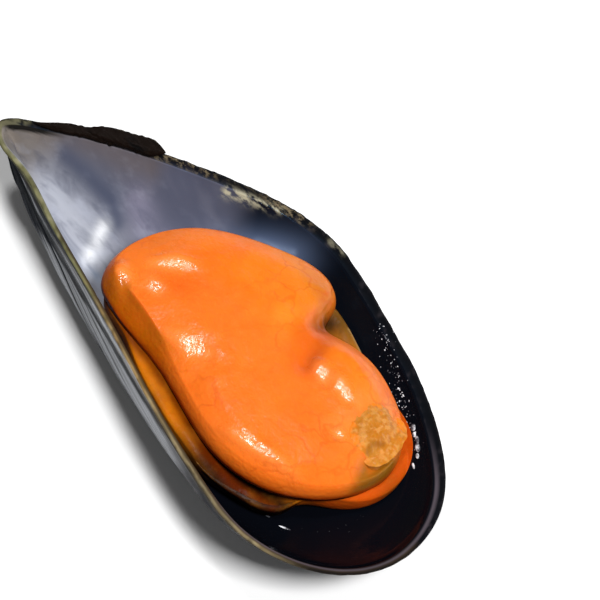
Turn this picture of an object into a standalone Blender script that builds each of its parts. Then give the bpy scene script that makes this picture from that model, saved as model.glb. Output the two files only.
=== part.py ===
"""A cooked mussel on the half shell: one valve, its hinge ligament, and the meat lying in the valve.

Everything is drawn in the valve's own frame, in millimetres: +X runs from the beak to the rear end,
+Y to the hinge side, +Z out of the open side, and Z = 0 is the plane in which the two valves met.
An empty then lays the valve in the pose in which it rests on a table.
"""

import math

import bmesh
import bpy
import numpy as np
from mathutils import Euler, Matrix, Vector
from mathutils.bvhtree import BVHTree

MM = 0.001

# The valve's rim, seen from the open side. It starts at the beak and goes round by the hinge.
RIM = (
    (-0.9, 1.0), (-0.1, 3.0), (2.2, 5.1), (5.6, 8.1), (10.0, 11.3), (15.3, 14.5), (20.8, 17.4),
    (26.5, 19.9), (31.5, 21.2), (36.0, 21.4), (41.5, 20.3), (47.5, 18.5), (53.0, 16.7),
    (58.5, 14.1), (63.0, 11.2), (66.6, 7.7), (68.7, 3.5), (69.3, -0.8), (68.4, -5.2),
    (65.4, -9.4), (60.5, -12.5), (55.0, -13.7), (48.9, -13.0), (40.0, -11.0), (31.0, -8.4),
    (21.0, -5.6), (12.0, -3.1), (5.0, -1.3), (1.0, -0.8),
)
RIM_SIDES = 64

# How the valve grew: each earlier rim is a smaller one, turned down about an axis through the beak.
BEAK = np.array((-0.6, 1.5))
AXIS_ANGLE = math.radians(74)
SHRINK_PER_RADIAN = 3.0
BULGE = 1.85
BULGE_POWER = 1.15
NARROWING = 0.42
FULL_DEPTH = 14.0
ROUNDING = 0.73
SMALLEST_RIM = 0.012
GROWTH_RINGS = 20

# The wall is thin at the rim and thickens inwards.
LIP_VENTRAL = 0.6
LIP_DORSAL = 1.2
WALL = 1.25
WALL_REACHED = 0.3
HOLLOW_CENTRE = np.array((30.0, 3.5))
HOLLOW_RINGS = 13
HOLLOW_SPACING_POWER = 1.5
PROBE_START = 1.0
PROBE_STEPS = 40

# The gap that touching pieces keep.
GAP = 0.4

# The brown ligament left on the rim, as shares of the way round the rim.
LIGAMENT_FROM = 0.022
LIGAMENT_TO = 0.135
LIGAMENT_SECTIONS = 18
LIGAMENT_SIDES = 10
LIGAMENT_WIDTH = 2.0
LIGAMENT_HEIGHT = 1.3
LIGAMENT_INSET = 0.6

# The lower lobe of the mantle, which fills the valve and shows as a band beyond the upper lobe.
LOWER_LOBE = (
    (22.4, 0.6), (23.8, 6.0), (27.2, 10.8), (32.2, 13.8), (38.0, 15.2), (43.5, 14.6),
    (49.0, 14.2), (54.0, 13.0), (58.4, 11.6), (61.2, 9.2), (62.4, 5.2), (61.8, 1.4),
    (60.0, -1.4), (58.0, -3.0), (57.0, -5.2), (57.4, -7.4), (55.2, -8.6), (52.0, -9.4),
    (48.0, -10.1), (44.2, -9.9), (40.2, -9.2), (36.2, -8.2), (32.2, -6.9), (27.7, -5.2),
    (23.4, -3.7),
)
LOWER_CENTRE = np.array((43.0, 3.0))
LOWER_SIDES = 52
LOWER_RINGS = 6
LOWER_EDGE_HEIGHT = -1.9
LOWER_SINK = 1.2
LOWER_DROP = 9.0
LOWER_EDGE = 0.7

# The upper lobe, the plump pillow that shows.
UPPER_LOBE = (
    (21.0, 0.4), (21.5, 4.6), (23.4, 9.0), (27.2, 12.7), (32.2, 15.6), (36.8, 17.0),
    (40.0, 16.1), (42.0, 14.2), (44.3, 13.2), (47.4, 13.9), (51.0, 13.9), (54.6, 12.7),
    (57.6, 10.9), (59.9, 8.0), (60.9, 4.4), (60.3, 0.6), (58.0, -3.2), (54.4, -6.2),
    (50.0, -8.0), (45.6, -8.3), (41.5, -7.5), (37.5, -6.4), (33.5, -5.6), (29.5, -5.3),
    (25.8, -4.8), (22.2, -3.3),
)
UPPER_CENTRE = np.array((41.0, 4.0))
UPPER_SIDES = 56
UPPER_RINGS = 7
UPPER_EDGE_HEIGHT = -1.0
UPPER_RISE = 4.4
UPPER_ROUNDNESS = 3.0
UPPER_EDGE = 0.7
UPPER_GAP = 0.5

# The muscle that closed the shell. It stands on the valve and comes out through both lobes.
MUSCLE_CENTRE = np.array((56.6, 6.0))
MUSCLE_LENGTH = 8.0
MUSCLE_WIDTH = 6.2
MUSCLE_ANGLE = math.radians(10)
MUSCLE_TOP = 2.2
MUSCLE_SIDES = 24

# The pose at rest: the valve leans to its hinge side, with the weight over a small worn flat.
REST_ROLL = math.radians(-27.0)
REST_PITCH = math.radians(5.0)
WORN_DEPTH = 0.25

SHELL_BLACK = (0.016, 0.018, 0.030)
LIGAMENT_BROWN = (0.030, 0.016, 0.008)
MANTLE_ORANGE = (0.90, 0.25, 0.025)
LOWER_ORANGE = (0.62, 0.16, 0.012)
MUSCLE_TAN = (0.72, 0.36, 0.09)


def clear_scene():
    for old in list(bpy.data.objects):
        bpy.data.objects.remove(old, do_unlink=True)


def collection(name, hidden=False):
    made = bpy.data.collections.new(name)
    made.hide_render = hidden
    bpy.context.scene.collection.children.link(made)
    return made


def material(name, colour, roughness):
    made = bpy.data.materials.new(name)
    made.use_nodes = True
    shader = made.node_tree.nodes["Principled BSDF"]
    shader.inputs["Base Color"].default_value = (*colour, 1.0)
    shader.inputs["Roughness"].default_value = roughness
    return made


def closed_spline(points, count):
    """`count` evenly spaced points on the smooth closed curve through `points`."""
    knots = np.asarray(points, float)
    ahead = np.roll(knots, -1, axis=0) - knots
    chord = np.linalg.norm(ahead, axis=1)
    before = np.roll(chord, 1)
    n = len(knots)
    system = np.zeros((n, n))
    for i in range(n):
        system[i, i - 1] = 1 / before[i]
        system[i, i] = 2 / before[i] + 2 / chord[i]
        system[i, (i + 1) % n] = 1 / chord[i]
    pull = ahead / chord[:, None] ** 2
    slopes = np.linalg.solve(system, 3 * (pull + np.roll(pull, 1, axis=0)))
    fine = []
    for i in range(n):
        for u in np.linspace(0, 1, 24, endpoint=False):
            start = (1 + 2 * u) * (1 - u) ** 2 * knots[i]
            end = u * u * (3 - 2 * u) * knots[(i + 1) % n]
            leave = u * (1 - u) ** 2 * chord[i] * slopes[i]
            arrive = u * u * (u - 1) * chord[i] * slopes[(i + 1) % n]
            fine.append(start + end + leave + arrive)
    fine = np.array(fine + fine[:1])
    walked = np.concatenate(([0], np.cumsum(np.linalg.norm(np.diff(fine, axis=0), axis=1))))
    stops = np.linspace(0, walked[-1], count, endpoint=False)
    return np.stack([np.interp(stops, walked, fine[:, k]) for k in (0, 1)], axis=1)


def smooth_step(x):
    x = np.clip(x, 0, 1)
    return x * x * (3 - 2 * x)


def inward(outline):
    """The unit vectors that point into a closed outline that runs clockwise."""
    along = np.roll(outline, -1, axis=0) - np.roll(outline, 1, axis=0)
    across = np.stack([along[:, 1], -along[:, 0]], axis=1)
    return across / np.linalg.norm(across, axis=1)[:, None]


def outer_ring(rim, size):
    """The rim when the valve was `size` of its present length, where the outer face still shows it."""
    turn = -math.log(size) / SHRINK_PER_RADIAN
    axis = np.array((math.cos(AXIS_ANGLE), math.sin(AXIS_ANGLE)))
    away = np.array((axis[1], -axis[0]))
    along_axis = (rim - BEAK) @ axis
    from_axis = (rim - BEAK) @ away
    flat = size * (np.outer(along_axis, axis) + math.cos(turn) * np.outer(from_axis, away))
    flat[:, 1] *= 1 - NARROWING * (1 - size)
    depth = BULGE * size**BULGE_POWER * np.maximum(from_axis, 0) * math.sin(turn)
    return np.column_stack([flat + BEAK, -FULL_DEPTH * (depth / FULL_DEPTH) ** ROUNDING])


def add_ring(mesh, points):
    return [mesh.verts.new(Vector(p) * MM) for p in points]


def bridge(mesh, first, second):
    """Faces between two rings of the same number of vertices."""
    n = len(first)
    for i in range(n):
        mesh.faces.new((first[i], first[(i + 1) % n], second[(i + 1) % n], second[i]))


def close_with_fan(mesh, ring, point):
    tip = mesh.verts.new(Vector(point) * MM)
    n = len(ring)
    for i in range(n):
        mesh.faces.new((ring[i], ring[(i + 1) % n], tip))


def finished(name, mesh, group, look, parent):
    """The object made of a mesh drawn in the valve's frame."""
    bmesh.ops.recalc_face_normals(mesh, faces=mesh.faces)
    data = bpy.data.meshes.new(name)
    mesh.to_mesh(data)
    mesh.free()
    data.shade_smooth()
    data.set_sharp_from_angle(angle=math.radians(50))
    data.materials.append(look)
    made = bpy.data.objects.new(name, data)
    made.parent = parent
    group.objects.link(made)
    return made


def tree_of(*objects):
    """A search tree of these objects' faces in the valve's frame, in metres."""
    points, faces = [], []
    for obj in objects:
        start = len(points)
        points += [v.co.copy() for v in obj.data.vertices]
        faces += [[start + i for i in p.vertices] for p in obj.data.polygons]
    return BVHTree.FromPolygons(points, faces)


def lowest_clear(tree, x, y, clear):
    """The lowest height at (x, y), coming from above, that stays this far clear of the tree's faces."""
    z = PROBE_START
    for _ in range(PROBE_STEPS):
        distance = tree.find_nearest(Vector((x, y, z)) * MM)[3] / MM
        if distance - clear < 0.01:
            break
        z -= distance - clear
    return z


def wear_flat(mesh):
    """Take off the lowest bit of the valve as it rests, and close the opening with a flat face."""
    up = Euler((REST_ROLL, REST_PITCH, 0)).to_matrix().transposed() @ Vector((0, 0, 1))
    lowest = min(v.co.dot(up) for v in mesh.verts)
    everything = mesh.verts[:] + mesh.edges[:] + mesh.faces[:]
    level = up * (lowest + WORN_DEPTH * MM)
    worn = bmesh.ops.bisect_plane(mesh, geom=everything, plane_co=level, plane_no=-up, clear_outer=True)
    edges = [part for part in worn["geom_cut"] if isinstance(part, bmesh.types.BMEdge)]
    bmesh.ops.contextual_create(mesh, geom=edges)


def make_valve(group, look, parent):
    rim = closed_spline(RIM, RIM_SIDES)
    mesh = bmesh.new()
    share = np.linspace(0, 1, GROWTH_RINGS + 1)
    sizes = SMALLEST_RIM + (1 - SMALLEST_RIM) * (1 - share) ** 1.15
    rings = [add_ring(mesh, outer_ring(rim, size)) for size in sizes]
    for first, second in zip(rings, rings[1:]):
        bridge(mesh, first, second)
    close_with_fan(mesh, rings[-1], (*BEAK, 0))
    outer = BVHTree.FromBMesh(mesh)

    lip_width = LIP_VENTRAL + (LIP_DORSAL - LIP_VENTRAL) * smooth_step((rim[:, 1] + 4) / 16)
    lip = rim + lip_width[:, None] * inward(rim)
    previous = rings[0]
    for step in range(HOLLOW_RINGS):
        share_in = (step / HOLLOW_RINGS) ** HOLLOW_SPACING_POWER
        flat = lip + share_in * (HOLLOW_CENTRE - lip)
        wall = lip_width + (WALL - lip_width) * smooth_step(share_in / WALL_REACHED)
        if step == 0:
            heights = np.zeros(RIM_SIDES)
        else:
            heights = [min(0.0, lowest_clear(outer, x, y, w)) for (x, y), w in zip(flat, wall)]
        ring = add_ring(mesh, np.column_stack([flat, heights]))
        bridge(mesh, ring, previous)
        previous = ring
    bottom = lowest_clear(outer, *HOLLOW_CENTRE, WALL)
    close_with_fan(mesh, previous, (*HOLLOW_CENTRE, bottom))
    wear_flat(mesh)
    return finished("valve", mesh, group, look, parent)


def make_ligament(group, look, parent):
    """A tapered strip that lies on the rim at the hinge."""
    rim = closed_spline(RIM, 400)
    inner = inward(rim)
    stations = np.linspace(LIGAMENT_FROM, LIGAMENT_TO, LIGAMENT_SECTIONS) * len(rim)
    mesh = bmesh.new()
    rings, middles = [], []
    for number, station in enumerate(stations):
        index = int(station)
        along = number / (LIGAMENT_SECTIONS - 1)
        swell = 0.35 + 0.65 * math.sin(math.pi * along) ** 0.5
        half_width = LIGAMENT_WIDTH / 2 * swell
        half_height = LIGAMENT_HEIGHT / 2 * swell
        middle = np.array((*(rim[index] + LIGAMENT_INSET * inner[index]), GAP + half_height))
        side = np.array((*inner[index], 0.0))
        ring = []
        for k in range(LIGAMENT_SIDES):
            angle = 2 * math.pi * k / LIGAMENT_SIDES
            offset = half_width * math.cos(angle) * side
            ring.append(middle + offset + np.array((0, 0, half_height * math.sin(angle))))
        rings.append(add_ring(mesh, ring))
        middles.append(middle)
    for first, second in zip(rings, rings[1:]):
        bridge(mesh, first, second)
    close_with_fan(mesh, rings[0], middles[0])
    close_with_fan(mesh, rings[-1], middles[-1])
    return finished("hinge_ligament", mesh, group, look, parent)


def make_lobe(name, outline, centre, ring_count, faces_at, group, look, parent):
    """A closed cushion; `faces_at` gives the heights of its underside and of its upper face."""
    mesh = bmesh.new()
    previous = None
    for step in range(ring_count):
        out = 1 - step / ring_count
        flat = centre + out * (outline - centre)
        heights = np.array([faces_at(x, y, out) for x, y in flat])
        rings = [add_ring(mesh, np.column_stack([flat, heights[:, k]])) for k in (0, 1)]
        if previous is None:
            bridge(mesh, *rings)
        else:
            bridge(mesh, previous[0], rings[0])
            bridge(mesh, previous[1], rings[1])
        previous = rings
    under, over = faces_at(*centre, 0.0)
    close_with_fan(mesh, previous[0], (*centre, under))
    close_with_fan(mesh, previous[1], (*centre, over))
    return finished(name, mesh, group, look, parent)


def make_lower_lobe(group, look, parent, bed):
    def faces_at(x, y, out):
        round_under = LOWER_EDGE_HEIGHT - LOWER_EDGE - LOWER_DROP * math.sqrt(1 - out**2)
        under = max(round_under, lowest_clear(bed, x, y, GAP))
        over = LOWER_EDGE_HEIGHT - LOWER_SINK * smooth_step(4 * (1 - out))
        return under, max(over, under + LOWER_EDGE)

    outline = closed_spline(LOWER_LOBE, LOWER_SIDES)
    return make_lobe("lower_mantle_lobe", outline, LOWER_CENTRE, LOWER_RINGS, faces_at, group, look, parent)


def make_upper_lobe(group, look, parent, bed):
    def faces_at(x, y, out):
        under = max(UPPER_EDGE_HEIGHT - UPPER_EDGE, lowest_clear(bed, x, y, UPPER_GAP))
        over = UPPER_EDGE_HEIGHT + UPPER_RISE * (1 - out**UPPER_ROUNDNESS) ** 0.7
        return under, max(over, under + UPPER_EDGE)

    outline = closed_spline(UPPER_LOBE, UPPER_SIDES)
    return make_lobe("upper_mantle_lobe", outline, UPPER_CENTRE, UPPER_RINGS, faces_at, group, look, parent)


def muscle_section(grow, height):
    """The muscle's oval outline, `grow` wider all round, at one height."""
    points = []
    for k in range(MUSCLE_SIDES):
        angle = 2 * math.pi * k / MUSCLE_SIDES
        x = (MUSCLE_LENGTH / 2 + grow) * math.cos(angle)
        y = (MUSCLE_WIDTH / 2 + grow) * math.sin(angle)
        turned = Matrix.Rotation(MUSCLE_ANGLE, 2) @ Vector((x, y))
        points.append((MUSCLE_CENTRE[0] + turned.x, MUSCLE_CENTRE[1] + turned.y, height))
    return points


def make_muscle(group, look, parent, bed):
    """A short oval column with a domed end that stands on the valve."""
    mesh = bmesh.new()
    foot = [(x, y, lowest_clear(bed, x, y, GAP)) for x, y, _ in muscle_section(-0.6, 0)]
    rings = [add_ring(mesh, foot)]
    rings.append(add_ring(mesh, muscle_section(0, MUSCLE_TOP - 2.0)))
    rings.append(add_ring(mesh, muscle_section(-0.5, MUSCLE_TOP - 0.8)))
    rings.append(add_ring(mesh, muscle_section(-1.8, MUSCLE_TOP)))
    for first, second in zip(rings, rings[1:]):
        bridge(mesh, first, second)
    close_with_fan(mesh, rings[0], (*MUSCLE_CENTRE, lowest_clear(bed, *MUSCLE_CENTRE, GAP)))
    close_with_fan(mesh, rings[-1], (*MUSCLE_CENTRE, MUSCLE_TOP + 0.3))
    return finished("adductor_muscle", mesh, group, look, parent)


def make_muscle_cutter(group, parent):
    """The muscle's channel through the lobes, with the gap all round."""
    mesh = bmesh.new()
    rings = [add_ring(mesh, muscle_section(GAP, height)) for height in (-20.0, 12.0)]
    bridge(mesh, *rings)
    close_with_fan(mesh, rings[0], (*MUSCLE_CENTRE, -20.0))
    close_with_fan(mesh, rings[1], (*MUSCLE_CENTRE, 12.0))
    cutter = finished("muscle_channel", mesh, group, material("cutter", (1, 1, 1), 1.0), parent)
    cutter.hide_render = True
    cutter.display_type = "WIRE"
    return cutter


def cut(obj, cutter):
    difference = obj.modifiers.new("channel", "BOOLEAN")
    difference.operation = "DIFFERENCE"
    difference.solver = "EXACT"
    difference.object = cutter


def rest_on_ground(pose, group):
    """Turn everything into its resting pose, with the middle of its base at the origin."""
    pose.rotation_euler = Euler((REST_ROLL, REST_PITCH, 0))
    turn = pose.rotation_euler.to_matrix()
    solids = [obj for obj in group.objects if obj.type == "MESH"]
    points = np.array([turn @ v.co for obj in solids for v in obj.data.vertices])
    low, high = points.min(axis=0), points.max(axis=0)
    pose.location = (-(low[0] + high[0]) / 2, -(low[1] + high[1]) / 2, -low[2])


def main():
    clear_scene()
    group = collection("mussel_on_the_half_shell")
    helpers = collection("cutters", hidden=True)
    pose = bpy.data.objects.new("resting_pose", None)
    group.objects.link(pose)

    shell = material("shell", SHELL_BLACK, 0.25)
    orange = material("mantle", MANTLE_ORANGE, 0.3)

    valve = make_valve(group, shell, pose)
    make_ligament(group, material("ligament", LIGAMENT_BROWN, 0.6), pose)

    bed = tree_of(valve)
    lower = make_lower_lobe(group, material("lower_mantle", LOWER_ORANGE, 0.3), pose, bed)
    upper = make_upper_lobe(group, orange, pose, tree_of(valve, lower))
    make_muscle(group, material("muscle", MUSCLE_TAN, 0.5), pose, bed)
    channel = make_muscle_cutter(helpers, pose)
    for lobe in (lower, upper):
        cut(lobe, channel)

    rest_on_ground(pose, group)


main()
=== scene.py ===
"""The looks of a cooked mussel on the half shell.

Shapes are drawn in the valve's own frame, in millimetres: +X runs from the beak to the rear end,
+Y to the hinge side, +Z out of the open side, and Z = 0 is the plane in which the two valves met.
Each mesh is then laid in the valve's resting pose, in metres, when its piece is made.
"""

import itertools
import math

import bmesh
import bpy
import numpy as np
from mathutils import Euler, Matrix, Vector
from mathutils.bvhtree import BVHTree


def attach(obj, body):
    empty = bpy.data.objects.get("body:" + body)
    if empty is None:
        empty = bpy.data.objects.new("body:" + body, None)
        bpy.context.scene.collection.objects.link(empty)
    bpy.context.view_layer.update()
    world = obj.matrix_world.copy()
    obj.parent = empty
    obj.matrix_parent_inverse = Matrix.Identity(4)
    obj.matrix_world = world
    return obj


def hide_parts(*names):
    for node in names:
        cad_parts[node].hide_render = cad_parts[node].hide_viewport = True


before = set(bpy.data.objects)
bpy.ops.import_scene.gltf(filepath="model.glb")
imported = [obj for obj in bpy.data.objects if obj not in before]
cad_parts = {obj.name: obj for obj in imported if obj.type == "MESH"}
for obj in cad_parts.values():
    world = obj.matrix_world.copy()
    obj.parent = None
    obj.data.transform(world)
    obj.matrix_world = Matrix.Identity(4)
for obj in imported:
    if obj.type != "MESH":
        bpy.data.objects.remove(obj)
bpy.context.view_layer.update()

MM = 0.001

# The pose at rest.
REST_ROLL = math.radians(-27.0)
REST_PITCH = math.radians(5.0)
VALVE_ORIGIN = (-34.0362, -3.2481, 15.7613)
POSE = Matrix.LocRotScale(Vector(VALVE_ORIGIN) * MM, Euler((REST_ROLL, REST_PITCH, 0)), None)

# The valve's rim, and how the valve grew from the beak.
RIM = (
    (-0.9, 1.0), (-0.1, 3.0), (2.2, 5.1), (5.6, 8.1), (10.0, 11.3), (15.3, 14.5), (20.8, 17.4),
    (26.5, 19.9), (31.5, 21.2), (36.0, 21.4), (41.5, 20.3), (47.5, 18.5), (53.0, 16.7),
    (58.5, 14.1), (63.0, 11.2), (66.6, 7.7), (68.7, 3.5), (69.3, -0.8), (68.4, -5.2),
    (65.4, -9.4), (60.5, -12.5), (55.0, -13.7), (48.9, -13.0), (40.0, -11.0), (31.0, -8.4),
    (21.0, -5.6), (12.0, -3.1), (5.0, -1.3), (1.0, -0.8),
)
BEAK = np.array((-0.6, 1.5))
AXIS_ANGLE = math.radians(74)
SHRINK_PER_RADIAN = 3.0
BULGE = 1.85
BULGE_POWER = 1.15
NARROWING = 0.42
FULL_DEPTH = 14.0
ROUNDING = 0.73
SMALLEST_RIM = 0.012
RING_SPACING_POWER = 1.15
LIP_VENTRAL = 0.6
LIP_DORSAL = 1.2
WALL = 1.25
WALL_REACHED = 0.3
HOLLOW_CENTRE = np.array((30.0, 3.5))
HIGHEST_HOLLOW = -0.06
GROWTH_STEP = 0.11

RIM_SIDES = 400
GROWTH_RINGS = 130
LIP_RINGS = ((0.25, 0.10), (0.55, 0.10), (0.85, 0.02))
HOLLOW_RINGS = 84
HOLLOW_SPACING_POWER = 1.35
BED_STARTS_AT_RING = 40
PROBE_START = 1.0
PROBE_STEPS = 40
PROBE_NEAR_ENOUGH = 0.01

LOWER_LOBE = (
    (22.4, 0.6), (23.8, 6.0), (27.2, 10.8), (32.2, 14.0), (38.0, 16.1), (42.6, 15.6),
    (48.0, 14.2), (54.0, 12.7), (58.2, 11.2), (60.8, 8.8), (61.9, 4.9), (61.1, 1.5),
    (59.2, -0.8), (56.9, -2.9), (56.0, -4.6), (55.4, -6.2), (54.2, -7.5), (51.6, -8.7),
    (48.0, -9.8), (44.2, -9.8), (40.2, -9.2), (36.2, -8.2), (32.2, -6.9), (27.7, -5.2),
    (23.4, -3.7),
)
LOWER_CENTRE = np.array((43.0, 3.0))
UPPER_LOBE = (
    (21.0, 0.4), (21.5, 4.6), (23.4, 9.0), (27.2, 12.7), (32.2, 15.6), (36.8, 17.2),
    (39.7, 16.9), (41.5, 15.5), (42.3, 13.2), (43.4, 12.1), (45.1, 12.4), (47.6, 13.1),
    (50.8, 13.1), (54.2, 12.1), (57.3, 10.5), (59.7, 7.9), (60.7, 4.4), (60.0, 0.6),
    (57.8, -3.2), (54.4, -6.2), (50.0, -8.0), (45.6, -8.3), (41.5, -7.5), (37.5, -6.4),
    (33.5, -5.6), (29.5, -5.3), (25.8, -4.8), (22.2, -3.3),
)
UPPER_CENTRE = np.array((41.0, 4.0))
UPPER_EDGE = -1.4
UPPER_LOWEST = -1.9
LOWER_EDGE = -2.5
LOBE_SIDES = 300
GAP = 0.15
THINNEST = 0.1

# Lumps of the upper lobe with one slant side: centre, half length, half width and direction.
SLANTS = (
    ((24.5, -2.8), 2.0, 1.1, -37), ((27.0, 2.7), 2.7, 1.1, 42), ((27.9, -0.9), 1.6, 1.0, -10),
    ((36.0, -2.9), 3.2, 1.3, 12), ((50.3, -5.9), 4.6, 0.8, 15), ((48.0, 6.0), 1.9, 1.05, -18),
    ((50.8, 6.3), 2.0, 0.95, -18), ((54.5, 2.2), 0.8, 0.7, 0),
)
SLANT_SLOPE = np.array((-0.10, 0.38))
WET_SMOOTHER = 0.24

MUSCLE_CENTRE = np.array((57.0, 6.0))
MUSCLE_LENGTH = 6.3
MUSCLE_WIDTH = 7.6
MUSCLE_ANGLE = 10
MUSCLE_SIDES = 200

MEAT_SUBSURFACE = 0.2
MEAT_SUBSURFACE_DEPTH = 0.0010
MEAT_BUMP = 0.14
SHELL_BUMP = 0.12
LIGAMENT_BUMP = 0.15


def smooth_step(x):
    x = np.clip(x, 0, 1)
    return x * x * (3 - 2 * x)


def noise(points, size, seed):
    """Smooth random values from -1 to 1 that change over about `size` millimetres."""
    table = np.random.default_rng(seed).uniform(-1, 1, 4096)
    places = np.asarray(points, float) / size
    base = np.floor(places).astype(np.int64)
    part = smooth_step(places - base)
    total = np.zeros(len(places))
    primes = (73856093, 19349663, 83492791)
    for corner in itertools.product((0, 1), repeat=places.shape[1]):
        cell = base + np.array(corner)
        mixed = cell[:, 0] * primes[0]
        for axis in range(1, places.shape[1]):
            mixed = mixed ^ (cell[:, axis] * primes[axis])
        share = np.prod(np.where(corner, part, 1 - part), axis=1)
        total += share * table[(mixed ^ (mixed >> 13)) % len(table)]
    return total


def layered_noise(points, size, seed, layers=3):
    return sum(noise(points, size / 2**k, seed + k) / 2**k for k in range(layers))


def hill(x, y, centre, length, width, degrees=0.0):
    """A bump of height 1, stretched along a direction."""
    angle = math.radians(degrees)
    along = (x - centre[0]) * math.cos(angle) + (y - centre[1]) * math.sin(angle)
    across = (y - centre[1]) * math.cos(angle) - (x - centre[0]) * math.sin(angle)
    return np.exp(-((along / length) ** 2) - (across / width) ** 2)


def distance_to_line(x, y, points):
    """How far each place lies from the line through `points`, in millimetres."""
    nearest = np.full(np.shape(x), np.inf)
    for (x0, y0), (x1, y1) in zip(points, points[1:]):
        dx, dy = x1 - x0, y1 - y0
        run = np.clip(((x - x0) * dx + (y - y0) * dy) / (dx * dx + dy * dy), 0, 1)
        nearest = np.minimum(nearest, np.hypot(x - x0 - run * dx, y - y0 - run * dy))
    return nearest


def near_line(x, y, points, width):
    """1 on a line through `points`, falling off to 0 over `width` on both sides."""
    return np.exp(-((distance_to_line(x, y, points) / width) ** 2))


def closed_spline(points, count):
    """`count` evenly spaced points on the smooth closed curve through `points`."""
    knots = np.asarray(points, float)
    ahead = np.roll(knots, -1, axis=0) - knots
    chord = np.linalg.norm(ahead, axis=1)
    before = np.roll(chord, 1)
    n = len(knots)
    system = np.zeros((n, n))
    for i in range(n):
        system[i, i - 1] = 1 / before[i]
        system[i, i] = 2 / before[i] + 2 / chord[i]
        system[i, (i + 1) % n] = 1 / chord[i]
    pull = ahead / chord[:, None] ** 2
    slopes = np.linalg.solve(system, 3 * (pull + np.roll(pull, 1, axis=0)))
    fine = []
    for i in range(n):
        for u in np.linspace(0, 1, 40, endpoint=False):
            start = (1 + 2 * u) * (1 - u) ** 2 * knots[i]
            end = u * u * (3 - 2 * u) * knots[(i + 1) % n]
            leave = u * (1 - u) ** 2 * chord[i] * slopes[i]
            arrive = u * u * (u - 1) * chord[i] * slopes[(i + 1) % n]
            fine.append(start + end + leave + arrive)
    fine = np.array(fine + fine[:1])
    walked = np.concatenate(([0], np.cumsum(np.linalg.norm(np.diff(fine, axis=0), axis=1))))
    stops = np.linspace(0, walked[-1], count, endpoint=False)
    return np.stack([np.interp(stops, walked, fine[:, k]) for k in (0, 1)], axis=1)


def inward(outline):
    """The unit vectors that point into a closed outline that runs clockwise."""
    along = np.roll(outline, -1, axis=0) - np.roll(outline, 1, axis=0)
    across = np.stack([along[:, 1], -along[:, 0]], axis=1)
    return across / np.linalg.norm(across, axis=1)[:, None]


def outer_ring(rim, size):
    """The rim when the valve was `size` of its length, where the outer face still shows it."""
    turn = -math.log(size) / SHRINK_PER_RADIAN
    axis = np.array((math.cos(AXIS_ANGLE), math.sin(AXIS_ANGLE)))
    away = np.array((axis[1], -axis[0]))
    along_axis = (rim - BEAK) @ axis
    from_axis = (rim - BEAK) @ away
    flat = size * (np.outer(along_axis, axis) + math.cos(turn) * np.outer(from_axis, away))
    flat[:, 1] *= 1 - NARROWING * (1 - size)
    depth = BULGE * size**BULGE_POWER * np.maximum(from_axis, 0) * math.sin(turn)
    return np.column_stack([flat + BEAK, -FULL_DEPTH * (depth / FULL_DEPTH) ** ROUNDING])


def grid_faces(rings, sides):
    """Quads between rings of points, and a fan to a single point before the first and after the last."""
    faces = []
    side = np.arange(sides)
    beside = (side + 1) % sides
    for r in range(rings - 1):
        low, high = 1 + r * sides, 1 + (r + 1) * sides
        faces.append(np.column_stack([low + side, low + beside, high + beside, high + side]))
    quads = np.concatenate(faces).tolist()
    first = np.column_stack([np.zeros(sides, int), 1 + beside, 1 + side]).tolist()
    last_ring = 1 + (rings - 1) * sides
    tip = 1 + rings * sides
    last = np.column_stack([np.full(sides, tip), last_ring + side, last_ring + beside]).tolist()
    return first + quads + last


def stack(first_tip, rings, last_tip):
    """All the points of a closed skin, in the order that grid_faces expects."""
    return np.concatenate([np.reshape(part, (-1, 3)) for part in (first_tip, rings, last_tip)])


def relief_directions(rings):
    """Unit vectors square to a grid of points, one per point."""
    along = np.roll(rings, -1, axis=1) - np.roll(rings, 1, axis=1)
    across = np.gradient(rings, axis=0)
    out = np.cross(along, across)
    return out / np.maximum(np.linalg.norm(out, axis=2, keepdims=True), 1e-9)


def make_piece(name, points, faces, look, node=None, colours=None, masks=None):
    """A smooth mesh piece of the object, from points in the valve's frame, in millimetres."""
    data = bpy.data.meshes.new(name)
    turned = np.array(POSE.to_3x3())
    placed = points @ turned.T * MM + np.array(POSE.translation)
    placed[:, 2] = np.maximum(placed[:, 2], 0)
    data.from_pydata(placed.tolist(), [], faces)
    bm = bmesh.new()
    bm.from_mesh(data)
    if bm.calc_volume(signed=True) < 0:
        bmesh.ops.reverse_faces(bm, faces=bm.faces)
        bm.to_mesh(data)
    bm.free()
    data.shade_smooth()
    place = data.attributes.new("place", "FLOAT_VECTOR", "POINT")
    place.data.foreach_set("vector", np.asarray(points, float).ravel())
    if colours is not None:
        layer = data.attributes.new("paint", "FLOAT_COLOR", "POINT")
        layer.data.foreach_set("color", np.column_stack([colours, np.ones(len(colours))]).ravel())
    for key, values in (masks or {}).items():
        layer = data.attributes.new(key, "FLOAT", "POINT")
        layer.data.foreach_set("value", np.asarray(values, float))
    data.materials.append(look)
    piece = bpy.data.objects.new(name, data)
    bpy.context.scene.collection.objects.link(piece)
    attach(piece, "root")
    if node:
        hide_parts(node)


def tree_of(points, faces):
    return BVHTree.FromPolygons([Vector(p) for p in points], faces)


def lowest_clear(tree, x, y, clear):
    """The lowest height at (x, y), coming from above, that stays this far clear of the tree's faces."""
    z = PROBE_START
    for _ in range(PROBE_STEPS):
        distance = tree.find_nearest(Vector((x, y, z)))[3]
        if distance - clear < PROBE_NEAR_ENOUGH:
            break
        z -= distance - clear
    return z


def heights_clear(tree, flat, clear):
    return np.array([lowest_clear(tree, x, y, clear) for x, y in flat])


def colour(red, green, blue):
    """A linear colour from the three display values, 0 to 255."""
    display = np.array((red, green, blue)) / 255
    return np.where(display <= 0.04, display / 12.92, ((display + 0.055) / 1.055) ** 2.4)


def lay_on(base, tint, share):
    return base * (1 - share[:, None]) + tint * share[:, None]


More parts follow.
